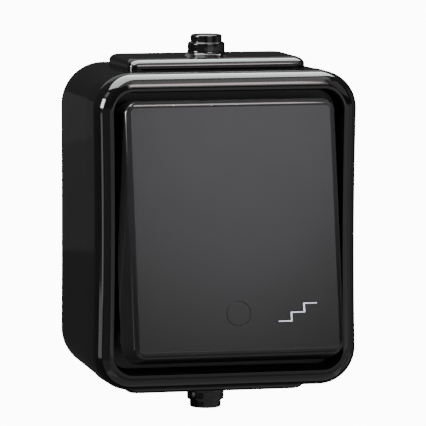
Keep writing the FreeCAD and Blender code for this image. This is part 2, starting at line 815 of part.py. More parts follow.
def flat_strip(ranges):
    """Return a contact strip lying on the pocket floor."""
    depths = (socket_floor_depth, strip_front_depth)
    return joined([block(x_range, depths, z_range) for x_range, z_range in ranges])


def upper_contact():
    """Return the upper switched contact strip."""
    return flat_strip(switched_strip_ranges())


def common_contact():
    """Return the common strip with the knife edge that carries the see-saw."""
    nose_x = (-nose_half_width, nose_half_width)
    plate_depths = (strip_front_depth - strip_thickness / 2, seesaw_pivot_depth)
    plate = block(nose_x, plate_depths, (-nose_radius, nose_radius))
    edge = cross_rod(nose_x, nose_radius, seesaw_pivot_depth)
    return joined([flat_strip(common_strip_ranges()), plate, edge])


def fixed_contact_tips():
    """Return the two fixed contact tips, just clear of the closed moving tip."""
    swing = math.radians(seesaw_tilt)
    rear_face = seesaw_flat_depth - strip_thickness - contact_thickness
    outer_edge = contact_z + contact_radius
    reach = (seesaw_pivot_depth - rear_face) * math.cos(swing) + outer_edge * math.sin(swing)
    front = seesaw_pivot_depth - reach - contact_gap
    tips = []
    for side in (1, -1):
        tips.append(rod(0, side * contact_z, contact_radius, (strip_front_depth, front)))
    return Part.makeCompound(tips)


def pose_seesaw(shape):
    """Return a piece of the see-saw, drawn level, turned to its resting tilt."""
    turned_shape = shape.copy()
    turned_shape.rotate(point(0, seesaw_pivot_depth, 0), Vector(1, 0, 0), seesaw_tilt)
    return turned_shape


def seesaw_edge(radius, flat_depth):
    """Return one side of the see-saw's bent section, from its lower to its upper end."""
    dip = pivot_depth - math.sqrt(radius ** 2 - trough_half_height ** 2)
    low_end = point(0, flat_depth, -seesaw_half_length)
    low_bend = point(0, flat_depth, -seesaw_flat_start)
    low_trough = point(0, dip, -trough_half_height)
    high_trough = point(0, dip, trough_half_height)
    high_bend = point(0, flat_depth, seesaw_flat_start)
    high_end = point(0, flat_depth, seesaw_half_length)
    trough = Part.Arc(low_trough, point(0, pivot_depth - radius, 0), high_trough).toShape()
    edges = [line(low_end, low_bend), line(low_bend, low_trough), trough]
    return edges + [line(high_trough, high_bend), line(high_bend, high_end)]


def contact_seesaw():
    """Return the bent see-saw strip with its trough and the cheeks that keep it on its edge."""
    front = seesaw_edge(trough_radius, seesaw_flat_depth)
    rear = seesaw_edge(trough_radius + strip_thickness, seesaw_flat_depth - strip_thickness)
    ends = []
    for side in (-1, 1):
        z = side * seesaw_half_length
        ends.append(line(point(0, seesaw_flat_depth, z), point(0, seesaw_flat_depth - strip_thickness, z)))
    section = Part.Wire(Part.__sortEdges__(front + rear + ends))
    strip = Part.Face(section).extrude(Vector(seesaw_width, 0, 0))
    strip.translate(Vector(-seesaw_width / 2, 0, 0))
    pieces = [strip]
    for side in (1, -1):
        cheek_x = sorted((side * seesaw_width / 2, side * (seesaw_width / 2 - cheek_plate)))
        cheek_depths = (seesaw_pivot_depth - 2 * nose_radius, seesaw_flat_depth)
        pieces.append(block(cheek_x, cheek_depths, (-2 * nose_radius, 2 * nose_radius)))
    return pose_seesaw(joined(pieces))


def moving_contact_tips():
    """Return the two contact tips on the rear of the see-saw."""
    rear = seesaw_flat_depth - strip_thickness
    tips = []
    for side in (1, -1):
        tips.append(rod(0, side * contact_z, contact_radius, (rear - contact_thickness, rear)))
    return pose_seesaw(Part.makeCompound(tips))


def terminal_clamps():
    """Return the three clamp blocks, each with a wire bore and a screw bore."""
    half = terminal_size / 2
    wire_depth = strip_front_depth + clamp_length / 2
    clamps = []
    for x, z in terminal_places():
        depths = (strip_front_depth, strip_front_depth + clamp_length)
        clamp = block((x - half, x + half), depths, (z - half, z + half))
        start = point(x, wire_depth, z - half - cut_margin)
        wire = Part.makeCylinder(wire_bore_radius, terminal_size + 2 * cut_margin, start, Vector(0, 0, 1))
        screw = rod(x, z, screw_radius + screw_gap, (wire_depth, depths[1] + cut_margin))
        clamps.append(clamp.cut([wire, screw]))
    return Part.makeCompound(clamps)


def terminal_screws():
    """Return the three terminal screws."""
    seat = strip_front_depth + clamp_length
    length = clamp_length / 2 - wire_bore_radius
    screws = []
    for x, z in terminal_places():
        head = (terminal_head_radius, terminal_head_height)
        screws.append(slotted_screw(x, z, seat, screw_radius, length, *head))
    return Part.makeCompound(screws)


def build():
    """Build every piece, and write each to its own file."""
    upper_entry = top_cable_entry()
    upper_strip = upper_contact()
    pieces = {
        "base_box": base_box(),
        "cover_gasket": cover_gasket(),
        "top_cable_entry": upper_entry,
        "bottom_cable_entry": mirrored_in_height(upper_entry),
        "cover_frame": cover_frame(),
        "cover_screws": cover_screws(),
        "insert_socket": insert_socket(),
        "insert_cover": insert_cover(),
        "insert_gasket": insert_gasket(),
        "insert_rivets": insert_rivets(),
        "insert_screws": insert_screws(),
        "upper_contact": upper_strip,
        "lower_contact": mirrored_in_height(upper_strip),
        "common_contact": common_contact(),
        "fixed_contact_tips": fixed_contact_tips(),
        "terminal_clamps": terminal_clamps(),
        "terminal_screws": terminal_screws(),
        "contact_seesaw": contact_seesaw(),
        "moving_contact_tips": moving_contact_tips(),
        "cradle": cradle(),
        "plunger": plunger(),
        "plunger_spring": plunger_spring(),
        "rocker": rocker(),
        "lamp_window_plug": lamp_window_plug(),
    }
    os.makedirs("parts", exist_ok=True)
    for name, shape in pieces.items():
        shape.exportStep(f"parts/{name}.step")
        print(name, len(shape.Solids), shape.isValid(), round(shape.Volume, 1))


build()
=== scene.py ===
"""Looks of a surface-mounted weatherproof rocker switch: fine forms, finishes, printed sign and studio."""

import logging
import math
from dataclasses import dataclass, field
from enum import Enum
from typing import Callable, NamedTuple

import bmesh
import bpy
from bpy.types import Material, Node, NodeSocket, NodeTree, Object
from mathutils import Matrix, Vector


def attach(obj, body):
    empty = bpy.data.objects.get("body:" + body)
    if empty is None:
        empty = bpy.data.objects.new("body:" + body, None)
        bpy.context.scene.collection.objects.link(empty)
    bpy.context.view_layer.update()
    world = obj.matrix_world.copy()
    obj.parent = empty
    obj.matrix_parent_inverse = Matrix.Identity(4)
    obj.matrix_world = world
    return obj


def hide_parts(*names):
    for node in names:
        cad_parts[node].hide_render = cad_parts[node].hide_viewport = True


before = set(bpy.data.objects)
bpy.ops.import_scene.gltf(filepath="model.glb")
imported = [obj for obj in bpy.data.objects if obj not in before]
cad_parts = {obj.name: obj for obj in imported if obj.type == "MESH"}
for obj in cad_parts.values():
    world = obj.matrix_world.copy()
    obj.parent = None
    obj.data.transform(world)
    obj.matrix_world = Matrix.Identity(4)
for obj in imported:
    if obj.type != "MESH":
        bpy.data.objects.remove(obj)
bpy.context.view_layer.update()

LOG = logging.getLogger("switch")
MM = 0.001
ARC_STEPS = 8
ROUND_STEPS = 96
WELD = 1e-7

Ring = list[bmesh.types.BMVert]
Pairs = list[tuple[float, float]]
Triple = tuple[float, float, float]
Feed = NodeSocket | float | Triple
Maker = Callable[[], Object]


class Body(Enum):
    """The bodies that the switch moves as."""

    HOUSING = "housing"
    ROCKER = "rocker_unit"


class Slot(Enum):
    """The material slots of the part's record."""

    HOUSING = "housing_gloss"
    ENTRY = "entry_gloss"
    ROCKER = "rocker_satin"
    PLUG = "plug_satin"
    RUBBER = "seal_rubber"
    INSERT = "insert_plastic"
    CRADLE = "cradle_plastic"
    STEEL = "screw_steel"
    BRASS = "contact_brass"
    SILVER = "contact_silver"


class Station(NamedTuple):
    """A place on an outline, with the direction that faces away from it."""

    x: float
    z: float
    out_x: float
    out_z: float


# Forms


def outline(width: float, height: float, radius: float, waist: float = 0.0, steps: int = 12) -> list[Station]:
    """Lay out a rounded rectangle whose long sides may curve in.

    Args:
        width: Width at the ends of the long sides.
        height: Height over all.
        radius: Corner radius.
        waist: How far the middle of a long side is drawn in.
        steps: Steps in each corner and each half side.

    Returns:
        The stations clockwise from the top's middle.
    """
    arm, drop = width / 2 - radius, height / 2 - radius
    hollow = ((radius - waist) ** 2 + drop**2 - radius**2) / (2 * waist) if waist else 0.0
    bend = math.atan2(drop, hollow + radius - waist) if waist else 0.0
    centre = width / 2 - waist + hollow
    quarter = [Station(arm * i / steps, height / 2, 0, 1) for i in range(steps)]
    for i in range(steps):
        turn = math.pi / 2 - (math.pi / 2 + bend) * i / steps
        cos, sin = math.cos(turn), math.sin(turn)
        quarter.append(Station(arm + radius * cos, drop + radius * sin, cos, sin))
    for i in range(steps + 1):
        turn = bend * (1 - i / steps)
        if waist:
            cos, sin = math.cos(turn), math.sin(turn)
            quarter.append(Station(centre - hollow * cos, hollow * sin, cos, -sin))
        else:
            quarter.append(Station(width / 2, drop * (1 - i / steps), 1, 0))
    back = quarter[:0:-1]
    stations = quarter[:-1] + [Station(s.x, -s.z, s.out_x, -s.out_z) for s in back]
    stations += [Station(-s.x, -s.z, -s.out_x, -s.out_z) for s in quarter[:-1]]
    return stations + [Station(-s.x, s.z, -s.out_x, s.out_z) for s in back]


def circle(radius: float, x: float = 0.0, z: float = 0.0) -> list[Station]:
    """Lay out a circle, clockwise from its top."""
    turns = [math.tau * i / ROUND_STEPS for i in range(ROUND_STEPS)]
    return [Station(x + radius * math.sin(t), z + radius * math.cos(t), math.sin(t), math.cos(t))
            for t in turns]


def rounded(corners: list[Triple]) -> Pairs:
    """Round the corners of an open section.

    Args:
        corners: The corners, each with its radius. A radius of 0 keeps the corner.

    Returns:
        The points of the section, each round in the same number of steps.
    """
    points = []
    for i, (u, v, radius) in enumerate(corners):
        if not radius:
            points.append((u, v))
            continue
        here = Vector((u, v))
        before = (Vector(corners[i - 1][:2]) - here).normalized()
        after = (Vector(corners[i + 1][:2]) - here).normalized()
        half = before.angle(after) / 2
        reach = radius / math.tan(half)
        centre = here + (before + after).normalized() * (radius / math.sin(half))
        start, end = here + before * reach - centre, here + after * reach - centre
        for step in range(ARC_STEPS + 1):
            along = start.slerp(end, step / ARC_STEPS)
            points.append(tuple(centre + along * radius))
    return points


def quarter_ellipse(start: tuple[float, float], end: tuple[float, float], steps: int = 20) -> Pairs:
    """Draw a quarter ellipse that leaves its start along the second axis and ends along the first.

    Args:
        start: The first end, which is left out.
        end: The other end, which is left out too.
        steps: Steps over the quarter.

    Returns:
        The points between its ends.
    """
    turns = [math.pi / 2 * i / steps for i in range(1, steps)]
    wide, tall = end[0] - start[0], end[1] - start[1]
    return [(start[0] + wide * (1 - math.cos(t)), start[1] + tall * math.sin(t)) for t in turns]


class Shell:
    """A mesh drawn ring by ring, in millimetres, and handed over in metres."""

    def __init__(self, place: Callable[[Vector], Vector] | None = None) -> None:
        """Start an empty mesh.

        Args:
            place: What is done to each point, such as a tilt or a mirror image.
        """
        self.mesh = bmesh.new()
        self.place = place or (lambda point: point)
        self.finish = 0  # material index of the faces that are drawn next

    def ring(self, points: list[Triple]) -> Ring:
        """Add a closed row of points, each at an X, a depth from the wall and a Z."""
        return [self.mesh.verts.new(self.place(Vector((x, -depth, z))) * MM) for x, depth, z in points]

    def band(self, first: Ring, second: Ring) -> None:
        """Join two rings of one length by a strip of faces.

        Args:
            first: One ring.
            second: The other ring.
        """
        for i in range(len(first)):
            face = self.mesh.faces.new((first[i - 1], first[i], second[i], second[i - 1]))
            face.material_index = self.finish

    def loft(self, rings: list[Ring]) -> None:
        """Join each ring to the next."""
        for first, second in zip(rings, rings[1:]):
            self.band(first, second)

    def sheet(self, *rings: Ring) -> None:
        """Close the flat space between rings: the first is the rim and the others are holes in it.

        Args:
            rings: The rim, then each hole.
        """
        edges = []
        for ring in rings:
            for i in range(len(ring)):
                pair = (ring[i - 1], ring[i])
                edges.append(self.mesh.edges.get(pair) or self.mesh.edges.new(pair))
        made = bmesh.ops.triangle_fill(self.mesh, use_beauty=True, use_dissolve=False, edges=edges)["geom"]
        for face in made:
            if isinstance(face, bmesh.types.BMFace):
                face.material_index = self.finish

    def block(self, low: Triple, high: Triple, edge: float) -> None:
        """Add a moulded block with rounded edges.

        Args:
            low: The lowest X, depth and Z.
            high: The highest X, depth and Z.
            edge: The edge radius.
        """
        size = [b - a for a, b in zip(low, high)]
        middle = [(a + b) / 2 for a, b in zip(low, high)]
        made = bmesh.ops.create_cube(self.mesh, size=1.0)["verts"]
        for vert in made:
            corner = [m + c * s for m, c, s in zip(middle, vert.co, size)]
            vert.co = self.place(Vector((corner[0], -corner[1], corner[2]))) * MM
        edges = list({e for v in made for e in v.link_edges})
        bmesh.ops.bevel(self.mesh, geom=edges, offset=edge * MM, segments=2, profile=0.5, affect="EDGES")

    def piece(self, name: str, body: Body, slot: Slot | None, stands_for: tuple[str, ...] = ()) -> Object:
        """Hand over the mesh as a piece with even shading.

        Args:
            name: The piece's name.
            body: The body that it moves with.
            slot: Its material slot, or None for a print that the record doesn't list. It is not used.
            stands_for: The solids that it is shown in place of.

        Returns:
            The piece.
        """
        bmesh.ops.remove_doubles(self.mesh, verts=self.mesh.verts, dist=WELD)
        bmesh.ops.recalc_face_normals(self.mesh, faces=self.mesh.faces)
        return finish_piece(self.mesh, name, body, stands_for)


def put(name: str, data: bpy.types.ID) -> Object:
    """Put an object into the scene.

    Args:
        name: Its name.
        data: Its mesh, light or camera.

    Returns:
        The object.
    """
    obj = bpy.data.objects.new(name, data)
    bpy.context.scene.collection.objects.link(obj)
    return obj


def finish_piece(mesh: bmesh.types.BMesh, name: str, body: Body,
                 stands_for: tuple[str, ...], crease: float = 40.0) -> Object:
    """Turn a drawn mesh into an object that rides its body.

    Args:
        mesh: The drawn mesh, which is freed.
        name: The piece's name.
        body: The body that it moves with.
        stands_for: The solids that it is shown in place of.
        crease: The angle in degrees above which an edge stays sharp.

    Returns:
        The piece.
    """
    for face in mesh.faces:
        face.smooth = True
    for edge in mesh.edges:
        edge.smooth = edge.calc_face_angle(0.0) < math.radians(crease)
    data = bpy.data.meshes.new(name)
    mesh.to_mesh(data)
    mesh.free()
    obj = put(name, data)
    even = obj.modifiers.new("even_shading", "WEIGHTED_NORMAL")
    even.keep_sharp = True
    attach(obj, body.value)
    if stands_for:
        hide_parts(*stands_for)
    return obj


def dress(obj: Object, *materials: Material) -> None:
    """Give a piece its materials, in the order of its faces' finishes.

    Args:
        obj: The piece.
        materials: The material of each finish, from finish 0 up.
    """
    if obj.data.materials:
        obj.data.materials.clear()
    for material in materials:
        obj.data.materials.append(material)


# Finishes


class Nodes:
    """A node tree under construction."""

    place: NodeSocket

    def __init__(self, tree: NodeTree) -> None:
        """Take hold of a tree."""
        self.tree = tree

    def fill(self, socket: NodeSocket, value: Feed) -> None:
        """Feed an input from another socket, or set its value.

        Args:
            socket: The input.
            value: The other socket, or the value.
        """
        if isinstance(value, NodeSocket):
            self.tree.links.new(value, socket)
        else:
            socket.default_value = value

    def node(self, kind: str, settings: dict[str, object] | None = None, **links: Feed) -> Node:
        """Add a node.

        Args:
            kind: The node's type without its common first part.
            settings: Properties of the node itself.
            links: For each input, by its name with underscores for spaces, a socket or a value.

        Returns:
            The node.
        """
        node = self.tree.nodes.new("ShaderNode" + kind)
        for key, value in (settings or {}).items():
            setattr(node, key, value)
        for label, value in links.items():
            self.fill(node.inputs[label.replace("_", " ")], value)
        return node

    def math(self, operation: str, *values: Feed) -> NodeSocket:
        """Add a Math node.

        Args:
            operation: What it does.
            values: Its inputs, each a socket or a number.

        Returns:
            The result's socket.
        """
        node = self.node("Math", {"operation": operation})
        for socket, value in zip(node.inputs, values):
            self.fill(socket, value)
        return node.outputs[0]

    def use(self, effect: NodeTree, **values: float) -> Node:
        """Add an effect's group, read at the tree's place on the surface, with its own number inputs."""
        return self.node("Group", {"node_tree": effect}, Place=self.place, **values)


class Group(Nodes):
    """A shader node group under construction."""

    def __init__(self, name: str, inputs: dict[str, float], outputs: tuple[str, ...]) -> None:
        """Make the group with its sockets.

        Args:
            name: The group's name.
            inputs: Each number socket with its usual value. A place on the surface is always an input.
            outputs: The names of the numbers that it puts out.
        """
        super().__init__(bpy.data.node_groups.new(name, "ShaderNodeTree"))
        self.tree.interface.new_socket("Place", in_out="INPUT", socket_type="NodeSocketVector")
        for label, value in inputs.items():
            socket = self.tree.interface.new_socket(label, in_out="INPUT", socket_type="NodeSocketFloat")
            socket.default_value = value
        for label in outputs:
            self.tree.interface.new_socket(label, in_out="OUTPUT", socket_type="NodeSocketFloat")
        self.source = self.tree.nodes.new("NodeGroupInput")
        self.sink = self.tree.nodes.new("NodeGroupOutput")
        self.place = self.given("Place")

    def given(self, label: str) -> NodeSocket:
        """Take one of the group's inputs."""
        return self.source.outputs[label]

    def give(self, label: str, socket: NodeSocket) -> None:
        """Put a value out of the group."""
        self.tree.links.new(socket, self.sink.inputs[label])

    def give_mask(self, value: NodeSocket) -> None:
        """Put a mask out of the group, kept between 0 and 1."""
        self.give("Mask", self.node("Clamp", Value=value).outputs[0])


@dataclass
class Effects:
    """The surface effects that the finishes share, each built once."""

    cloud: NodeTree = field(init=False)
    grain: NodeTree = field(init=False)
    veil: NodeTree = field(init=False)
    rubs: NodeTree = field(init=False)
    tool_marks: NodeTree = field(init=False)

    def __post_init__(self) -> None:
        """Build every effect."""
        self.cloud = self.mould_cloud()
        self.grain = self.mould_grain()
        self.veil = self.dust_veil()
        self.rubs = self.handling_rubs()
        self.tool_marks = self.metal_marks()

    @staticmethod
    def mould_cloud() -> NodeTree:
        """Build the slow unevenness of a moulded colour.

        Returns:
            The effect's group.
        """
        g = Group("mould_cloud", {"Scale": 60.0, "Contrast": 1.0}, ("Mask",))
        noise = g.node("TexNoise", Vector=g.place, Scale=g.given("Scale"),
                       Detail=4.0, Roughness=0.55)
        centred = g.math("SUBTRACT", noise.outputs["Fac"], 0.5)
        spread = g.math("MULTIPLY_ADD", centred, g.given("Contrast"), 0.5)
        g.give_mask(spread)
        return g.tree

    @staticmethod
    def mould_grain() -> NodeTree:
        """Build the fine texture of a mould's wall: small pits over a soft ripple.

        Returns:
            The effect's group.
        """
        g = Group("mould_grain", {"Scale": 3000.0, "Ripple": 0.3}, ("Height", "Mask"))
        scale = g.given("Scale")
        pits = g.node("TexVoronoi", {"feature": "SMOOTH_F1"}, Vector=g.place, Scale=scale)
        fine = g.node("TexNoise", Vector=g.place, Scale=g.math("MULTIPLY", scale, 0.7), Detail=2.0)
        slow = g.node("TexNoise", Vector=g.place, Scale=g.math("MULTIPLY", scale, 0.08), Detail=1.0)
        bumpy = g.math("MULTIPLY", pits.outputs["Distance"], fine.outputs["Fac"])
        g.give("Height", g.math("MULTIPLY_ADD", slow.outputs["Fac"], g.given("Ripple"), bumpy))
        g.give_mask(bumpy)
        return g.tree

    @staticmethod
    def dust_veil() -> NodeTree:
        """Build the thin dust that settles where a surface faces up.

        Returns:
            The effect's group.
        """
        g = Group("dust_veil", {"Amount": 0.3, "Scale": 900.0}, ("Mask",))
        up = g.node("SeparateXYZ", Vector=g.node("NewGeometry").outputs["Normal"]).outputs["Z"]
        lying = g.math("POWER", g.math("MAXIMUM", up, 0.0), 2.0)
        noise = g.node("TexNoise", Vector=g.place, Scale=g.given("Scale"), Detail=5.0)
        specks = g.math("POWER", noise.outputs["Fac"], 3.0)
        dusty = g.math("MULTIPLY", g.math("MULTIPLY", lying, specks), g.given("Amount"))
        g.give_mask(dusty)
        return g.tree

    @staticmethod
    def handling_rubs() -> NodeTree:
        """Build faint hairline rubs, long in X.

        Returns:
            The effect's group.
        """
        g = Group("handling_rubs", {"Scale": 260.0, "Amount": 0.3}, ("Mask",))
        stretched = g.node("Mapping", Vector=g.place, Scale=(0.06, 1.0, 1.0))
        lines = g.node("TexNoise", Vector=stretched.outputs[0], Scale=g.given("Scale"), Detail=6.0,
                       Roughness=0.7)
        thin = g.math("POWER", lines.outputs["Fac"], 4.0)
        where = g.node("TexNoise", Vector=g.place, Scale=45.0, Detail=1.0)
        patchy = g.math("MULTIPLY", g.math("MULTIPLY", thin, where.outputs["Fac"]), g.given("Amount"))
        g.give_mask(patchy)
        return g.tree

    @staticmethod
    def metal_marks() -> NodeTree:
        """Build the fine lines that turning or stamping leaves in metal.

        Returns:
            The effect's group.
        """
        g = Group("metal_marks", {"Scale": 1400.0, "Waver": 2.0}, ("Height", "Mask"))
        lines = g.node("TexWave", {"bands_direction": "Z"}, Vector=g.place,
                       Scale=g.given("Scale"), Distortion=g.given("Waver"), Detail=3.0)
        tarnish = g.node("TexNoise", Vector=g.place, Scale=400.0, Detail=4.0)
        g.give("Height", lines.outputs["Fac"])
        g.give("Mask", g.math("MULTIPLY", lines.outputs["Fac"], tarnish.outputs["Fac"]))
        return g.tree


class Surface(Nodes):
    """A material under construction, with its shader and its place on the surface."""

    def __init__(self, name: str) -> None:
        """Make the material and take hold of its shader.

        Args:
            name: The material's name.
        """
        self.material = bpy.data.materials.new(name)
        self.material.use_nodes = True
        super().__init__(self.material.node_tree)
        self.shader = self.tree.nodes["Principled BSDF"]
        self.place = self.tree.nodes.new("ShaderNodeTexCoord").outputs["Object"]

    def blend(self, mask: NodeSocket, first: Feed, second: Feed) -> NodeSocket:
        """Mix two colours by a mask.

        Args:
            mask: 0 gives the first colour and 1 the second.
            first: The first colour, or its socket.
            second: The second colour, or its socket.

        Returns:
            The mixed colour's socket.
        """
        mix = self.node("Mix", {"data_type": "RGBA"}, Factor=mask)
        for socket, value in zip(mix.inputs[6:8], (first, second)):
            self.fill(socket, value if isinstance(value, NodeSocket) else (*value, 1.0))
        return mix.outputs[2]

    def between(self, mask: NodeSocket, low: float, high: float) -> NodeSocket:
        """Turn a mask into a value between two others."""
        return self.node("MapRange", Value=mask, To_Min=low, To_Max=high).outputs["Result"]

    def bump(self, height: NodeSocket, depth: float) -> None:
        """Raise the surface by a height, over a depth in millimetres."""
        node = self.node("Bump", Height=height, Distance=depth * MM, Strength=1.0)
        self.tree.links.new(node.outputs["Normal"], self.shader.inputs["Normal"])

    def feed(self, label: str, socket: NodeSocket) -> None:
        """Join a value that changes over the surface to the shader."""
        self.tree.links.new(socket, self.shader.inputs[label])

    def keep(self, **values: Feed) -> None:
        """Set inputs of the shader that stay the same, by their names with underscores for spaces."""
        for label, value in values.items():
            self.fill(self.shader.inputs[label.replace("_", " ")], value)


@dataclass(frozen=True)
class Moulding:
    """A moulded plastic or rubber finish."""

    name: str
    light: Triple
    dark: Triple
    roughness: tuple[float, float]
    grain_scale: float
    grain_depth: float
    ripple: float
    dust: float
    dust_colour: Triple
    rubs: float
    specular: float = 0.5

    def make(self, effects: Effects) -> Material:
        """Make the material.

        Args:
            effects: The shared effects.

        Returns:
            The material.
        """
        s = Surface(self.name)
        cloud = s.use(effects.cloud, Scale=90.0, Contrast=1.6)
        grain = s.use(effects.grain, Scale=self.grain_scale, Ripple=self.ripple)
        veil = s.use(effects.veil, Amount=self.dust, Scale=1100.0)
        rubs = s.use(effects.rubs, Amount=self.rubs, Scale=300.0)
        colour = s.blend(cloud.outputs["Mask"], self.dark, self.light)
        s.feed("Base Color", s.blend(veil.outputs["Mask"], colour, self.dust_colour))
        worn = s.math("MAXIMUM", veil.outputs["Mask"], rubs.outputs["Mask"])
        uneven = s.math("MULTIPLY_ADD", cloud.outputs["Mask"], 0.4, worn)
        s.feed("Roughness", s.between(uneven, *self.roughness))
        s.bump(grain.outputs["Height"], self.grain_depth)
        s.keep(Specular_IOR_Level=self.specular)
        return s.material


@dataclass(frozen=True)
class Metal:
    """A turned, drawn or stamped metal finish."""

    name: str
    bright: Triple
    dull: Triple
    roughness: tuple[float, float]
    mark_scale: float
    mark_depth: float

    def make(self, effects: Effects) -> Material:
        """Make the material.

        Args:
            effects: The shared effects.

        Returns:
            The material.
        """
        s = Surface(self.name)
        marks = s.use(effects.tool_marks, Scale=self.mark_scale, Waver=1.5)
        cloud = s.use(effects.cloud, Scale=300.0, Contrast=1.4)
        s.feed("Base Color", s.blend(cloud.outputs["Mask"], self.dull, self.bright))
        s.feed("Roughness", s.between(marks.outputs["Mask"], *self.roughness))
        s.bump(marks.outputs["Height"], self.mark_depth)
        s.keep(Metallic=1.0)
        return s.material


FINISHES: dict[Slot, Moulding | Metal] = {
    Slot.HOUSING: Moulding("gloss_black", (0.0048, 0.0048, 0.0050), (0.0034, 0.0034, 0.0036), (0.06, 0.15),
                           900.0, 0.0006, 1.5, 0.05, (0.10, 0.10, 0.10), 0.10),
    Slot.ENTRY: Moulding("gloss_black_entry", (0.0052, 0.0052, 0.0051), (0.0036, 0.0036, 0.0036),
                         (0.07, 0.17), 900.0, 0.0008, 1.5, 0.08, (0.10, 0.10, 0.10), 0.10),
    Slot.ROCKER: Moulding("satin_anthracite", (0.0176, 0.0172, 0.0182), (0.0152, 0.0148, 0.0158),
                          (0.36, 0.48), 3600.0, 0.004, 0.4, 0.05, (0.12, 0.12, 0.12), 0.20, 0.4),
    Slot.PLUG: Moulding("satin_anthracite_plug", (0.0176, 0.0172, 0.0182), (0.0152, 0.0148, 0.0158),
                        (0.34, 0.46), 3600.0, 0.004, 0.4, 0.05, (0.12, 0.12, 0.12), 0.20, 0.4),
    Slot.RUBBER: Moulding("seal_rubber", (0.016, 0.016, 0.016), (0.011, 0.011, 0.011), (0.60, 0.80),
                          2200.0, 0.010, 0.6, 0.10, (0.14, 0.14, 0.13), 0.10),
    Slot.INSERT: Moulding("grey_moulding", (0.40, 0.40, 0.385), (0.35, 0.35, 0.335), (0.38, 0.55),
                          2600.0, 0.006, 0.5, 0.05, (0.45, 0.44, 0.42), 0.15),
    Slot.CRADLE: Moulding("off_white_moulding", (0.62, 0.61, 0.585), (0.56, 0.55, 0.525), (0.30, 0.45),
                          2600.0, 0.005, 0.5, 0.05, (0.62, 0.60, 0.57), 0.15),
    Slot.STEEL: Metal("zinc_plated_steel", (0.62, 0.63, 0.66), (0.46, 0.47, 0.49), (0.22, 0.42),
                      2600.0, 0.004),
    Slot.BRASS: Metal("stamped_brass", (0.80, 0.62, 0.31), (0.62, 0.45, 0.20), (0.20, 0.40), 1200.0, 0.003),
    Slot.SILVER: Metal("silver_alloy", (0.86, 0.85, 0.82), (0.66, 0.65, 0.62), (0.18, 0.36), 1600.0, 0.002),
}

POLISHED_RIM = Moulding("polished_anthracite", (0.010, 0.010, 0.0105), (0.007, 0.007, 0.0075), (0.07, 0.14),
                        1200.0, 0.0008, 1.5, 0.04, (0.12, 0.12, 0.12), 0.15)

MATT_RECESS = Moulding("matt_black_recess", (0.0075, 0.0073, 0.0072), (0.0058, 0.0056, 0.0055), (0.32, 0.44),
                       2600.0, 0.004, 0.5, 0.04, (0.10, 0.10, 0.10), 0.10, 0.4)

SOLID_FINISHES: dict[Slot, tuple[str, ...]] = {
    Slot.RUBBER: ("cover_gasket", "insert_gasket"),
    Slot.INSERT: ("insert_socket", "insert_cover"),
    Slot.CRADLE: ("cradle", "plunger"),
    Slot.STEEL: ("cover_screws", "insert_screws", "terminal_screws", "plunger_spring", "insert_rivets"),
    Slot.BRASS: ("upper_contact", "lower_contact", "common_contact", "terminal_clamps", "contact_seesaw"),
    Slot.SILVER: ("fixed_contact_tips", "moving_contact_tips"),
}


@dataclass(frozen=True)
class PaleInk:
    """The pad-printed ink of the switching sign."""

    name: str = "pale_ink"
    dense: Triple = (0.66, 0.70, 0.80)
    thin: Triple = (0.50, 0.54, 0.64)

    def make(self, effects: Effects) -> Material:
        """Make the material from the shared effects.

        Args:
            effects: The shared effects.

        Returns:
            The material.
        """
        s = Surface(self.name)
        cloud = s.use(effects.cloud, Scale=1800.0, Contrast=1.6)
        grain = s.use(effects.grain, Scale=3600.0, Ripple=0.3)
        s.feed("Base Color", s.blend(cloud.outputs["Mask"], self.thin, self.dense))
        s.feed("Roughness", s.between(cloud.outputs["Mask"], 0.45, 0.6))
        s.bump(grain.outputs["Height"], 0.003)
        return s.material


# The switch


@dataclass(frozen=True)
class Housing:
    """Sizes that the housing's pieces share, in millimetres."""

    width: float = 66.0
    height: float = 77.5
    corner: float = 9.3
    waist: float = 0.35
    base_depth: float = 32.5
    wall: float = 2.2
    parting_step: float = 0.12
    lip_depth: float = 45.5
    bead_width: float = 4.2
    bead_depth: float = 5.3
    floor_front: float = 37.92
    floor_rear: float = 35.92

    @property
    def base_height(self) -> float:
        """Height of the rear box."""
        return self.height - 2 * self.parting_step


@dataclass
class RearBox:
    """The deep rear box, which keeps its solid's form and gets even shading."""

    housing: Housing
    crease: float = 24.0
    weld: float = 2e-6

    def build(self) -> Object:
        """Weld the solid's facets into one smooth shell.

        Returns:
            The piece.
        """
        mesh = bmesh.new()
        mesh.from_mesh(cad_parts["base_box"].data)
        bmesh.ops.remove_doubles(mesh, verts=mesh.verts, dist=self.weld)
        return finish_piece(mesh, "rear_box", Body.HOUSING, ("base_box",), self.crease)


